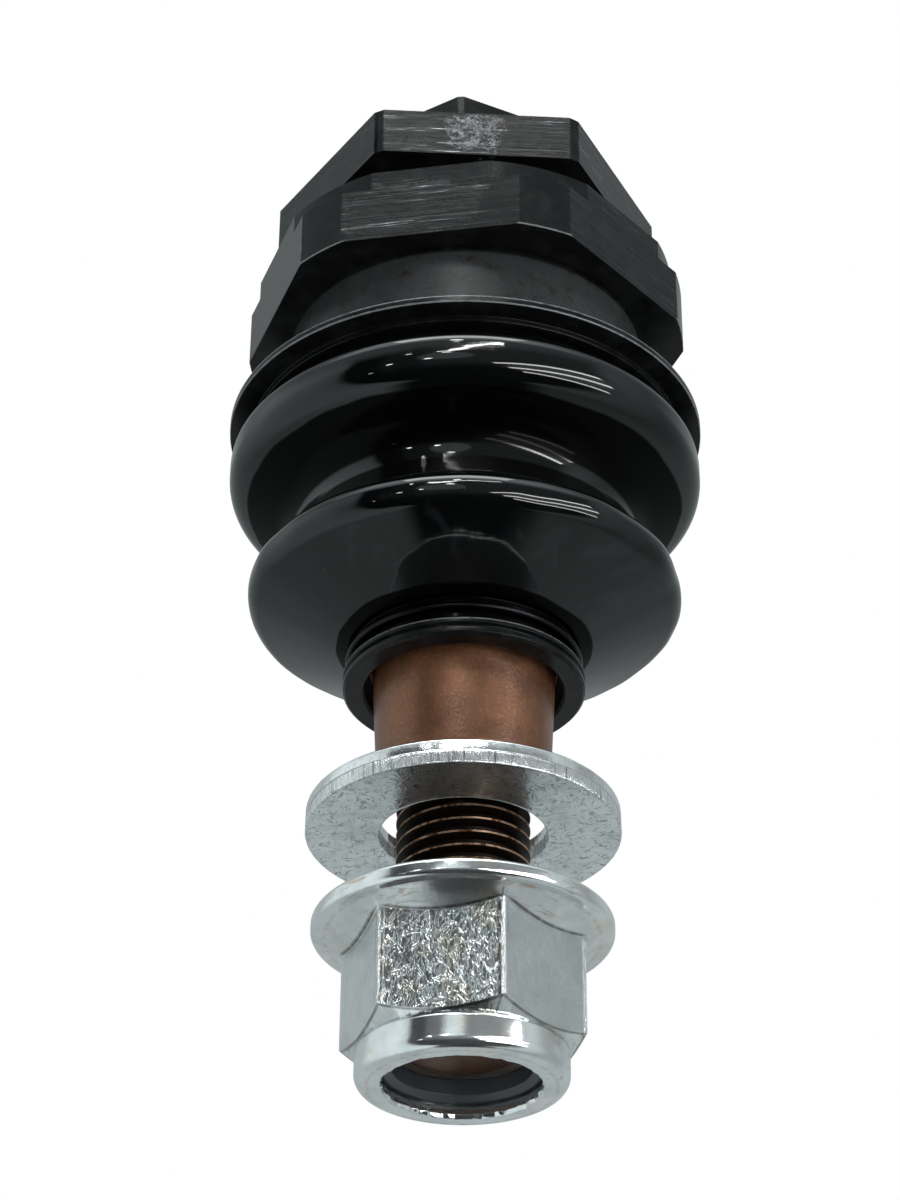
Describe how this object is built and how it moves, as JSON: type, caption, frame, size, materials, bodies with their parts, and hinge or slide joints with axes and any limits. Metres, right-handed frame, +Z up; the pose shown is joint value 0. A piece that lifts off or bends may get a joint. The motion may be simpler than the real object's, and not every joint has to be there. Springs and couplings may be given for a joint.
{
  "type": "suspension ball joint",
  "caption": "Bolt-through ball joint with a hexagon housing and clamp nut, a folded rubber boot, a tapered threaded stud, a flat washer and a flange lock nut.",
  "frame": {"origin": "on the joint's axis, in the face of the housing that the control arm's plate rests on", "axes": "+Z up along the axis, away from the stud, which points down; -Y faces a flat of the housing's hexagon"},
  "size_m": [0.053, 0.053, 0.1256],
  "materials": {
    "housing_steel": "black oxide, satin, with milled flats",
    "retainer_steel": "black oxide, turned, satin",
    "boot_rubber": "smooth moulded rubber, semi-gloss",
    "seal_rubber": "plain",
    "ring_steel": "dark phosphated spring steel",
    "collar_steel": "black oxide, turned, satin gloss",
    "stud_steel": "brown phosphated alloy steel, ground",
    "zinc_steel": "bluish-white zinc plating",
    "nylon": "dark grey nylon, smooth",
    "bearing_plastic": "moulded acetal, smooth",
    "spring_steel": "hardened spring steel",
    "fitting_steel": "zinc plated"
  },
  "bodies": {
    "housing": {"housing": "housing_steel", "adjusting_plug": "housing_steel", "plug_seal": "seal_rubber", "disc_spring": "spring_steel", "upper_cup": "bearing_plastic", "lower_bearing": "bearing_plastic", "retainer": "retainer_steel", "retainer_seal": "seal_rubber", "grease_fitting": "fitting_steel", "check_ball": "spring_steel", "fitting_spring": "spring_steel"},
    "clamp_nut": {"clamp_nut": "housing_steel"},
    "boot": {"boot": "boot_rubber", "boot_clamp_ring": "ring_steel"},
    "collar": {"boot_collar": "collar_steel", "boot_neck_ring": "ring_steel"},
    "stud": {"ball_stud": "stud_steel"},
    "washer": {"washer": "zinc_steel"},
    "insert": {"nylon_insert": "nylon"},
    "nut": {"lock_nut": "zinc_steel"}
  },
  "joints": [
    {"name": "swing_direction", "type": "hinge", "parent": "housing", "child": "boot", "pos_m": [0, 0, -0.0125], "axis": [0, 0, 1], "continuous": true},
    {"name": "stud_tilt", "type": "hinge", "parent": "boot", "child": "collar", "pos_m": [0, 0, -0.0125], "axis": [1, 0, 0], "range_deg": [-25, 25], "deforming": ["boot"]},
    {"name": "stud_spin", "type": "hinge", "parent": "collar", "child": "stud", "pos_m": [0, 0, -0.0125], "axis": [0, 0, 1], "continuous": true},
    {"name": "washer_slide", "type": "slide", "parent": "stud", "child": "washer", "axis": [0, 0, -1], "range_m": [-0.0036, 0.0096]},
    {"name": "nut_travel", "type": "slide", "parent": "stud", "child": "insert", "axis": [0, 0, -1], "range_m": [-0.00955, 0.01055]},
    {"name": "nut_turn", "type": "hinge", "parent": "insert", "child": "nut", "pos_m": [0, 0, -0.0828], "axis": [0, 0, -1], "range_deg": [-2280, 2520]},
    {"name": "clamp_nut_travel", "type": "slide", "parent": "housing", "child": "clamp_nut", "axis": [0, 0, 1], "range_m": [0, 0.007]}
  ],
  "couplings": [
    {"joint": "nut_travel", "follows": "nut_turn", "m_per_rad": 0.00023873}
  ]
}
